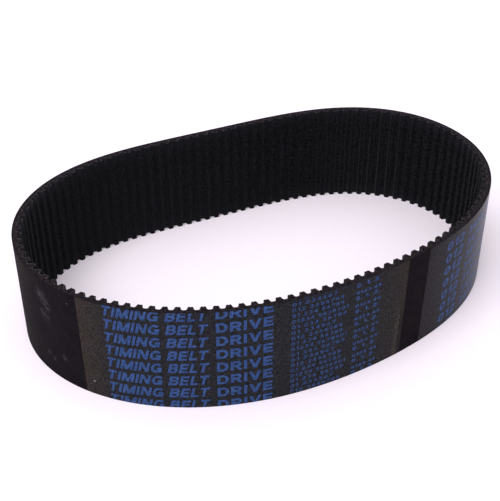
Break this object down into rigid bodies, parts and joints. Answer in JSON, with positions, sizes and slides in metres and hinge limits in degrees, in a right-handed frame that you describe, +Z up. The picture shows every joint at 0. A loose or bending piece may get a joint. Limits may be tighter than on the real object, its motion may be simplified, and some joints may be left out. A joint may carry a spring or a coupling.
{
  "type": "timing belt",
  "caption": "Endless toothed drive belt standing on its cut edge in an oval loop, smooth printed back outside and fabric-faced teeth inside.",
  "frame": {"origin": "on the surface the belt stands on, under the middle of the loop", "axes": "+X along the long axis of the oval loop, +Z up, across the belt's width, from the cut edge it stands on to the other"},
  "size_m": [0.1328, 0.082, 0.03],
  "materials": {
    "backing_rubber": "satin black moulded rubber",
    "tensile_cord": "rubber-bonded twisted glass cord",
    "tooth_rubber": "matte black moulded rubber",
    "facing_fabric": "black woven nylon, rubber impregnated",
    "label_film": "dark grey transfer film",
    "label_ink": "mid blue printing ink"
  },
  "bodies": {
    "root": {"backing": "backing_rubber", "tensile_cord_ply": "tensile_cord", "tooth_rubber": "tooth_rubber", "tooth_facing": "facing_fabric", "label_film_a": "label_film", "label_film_b": "label_film"}
  },
  "joints": []
}
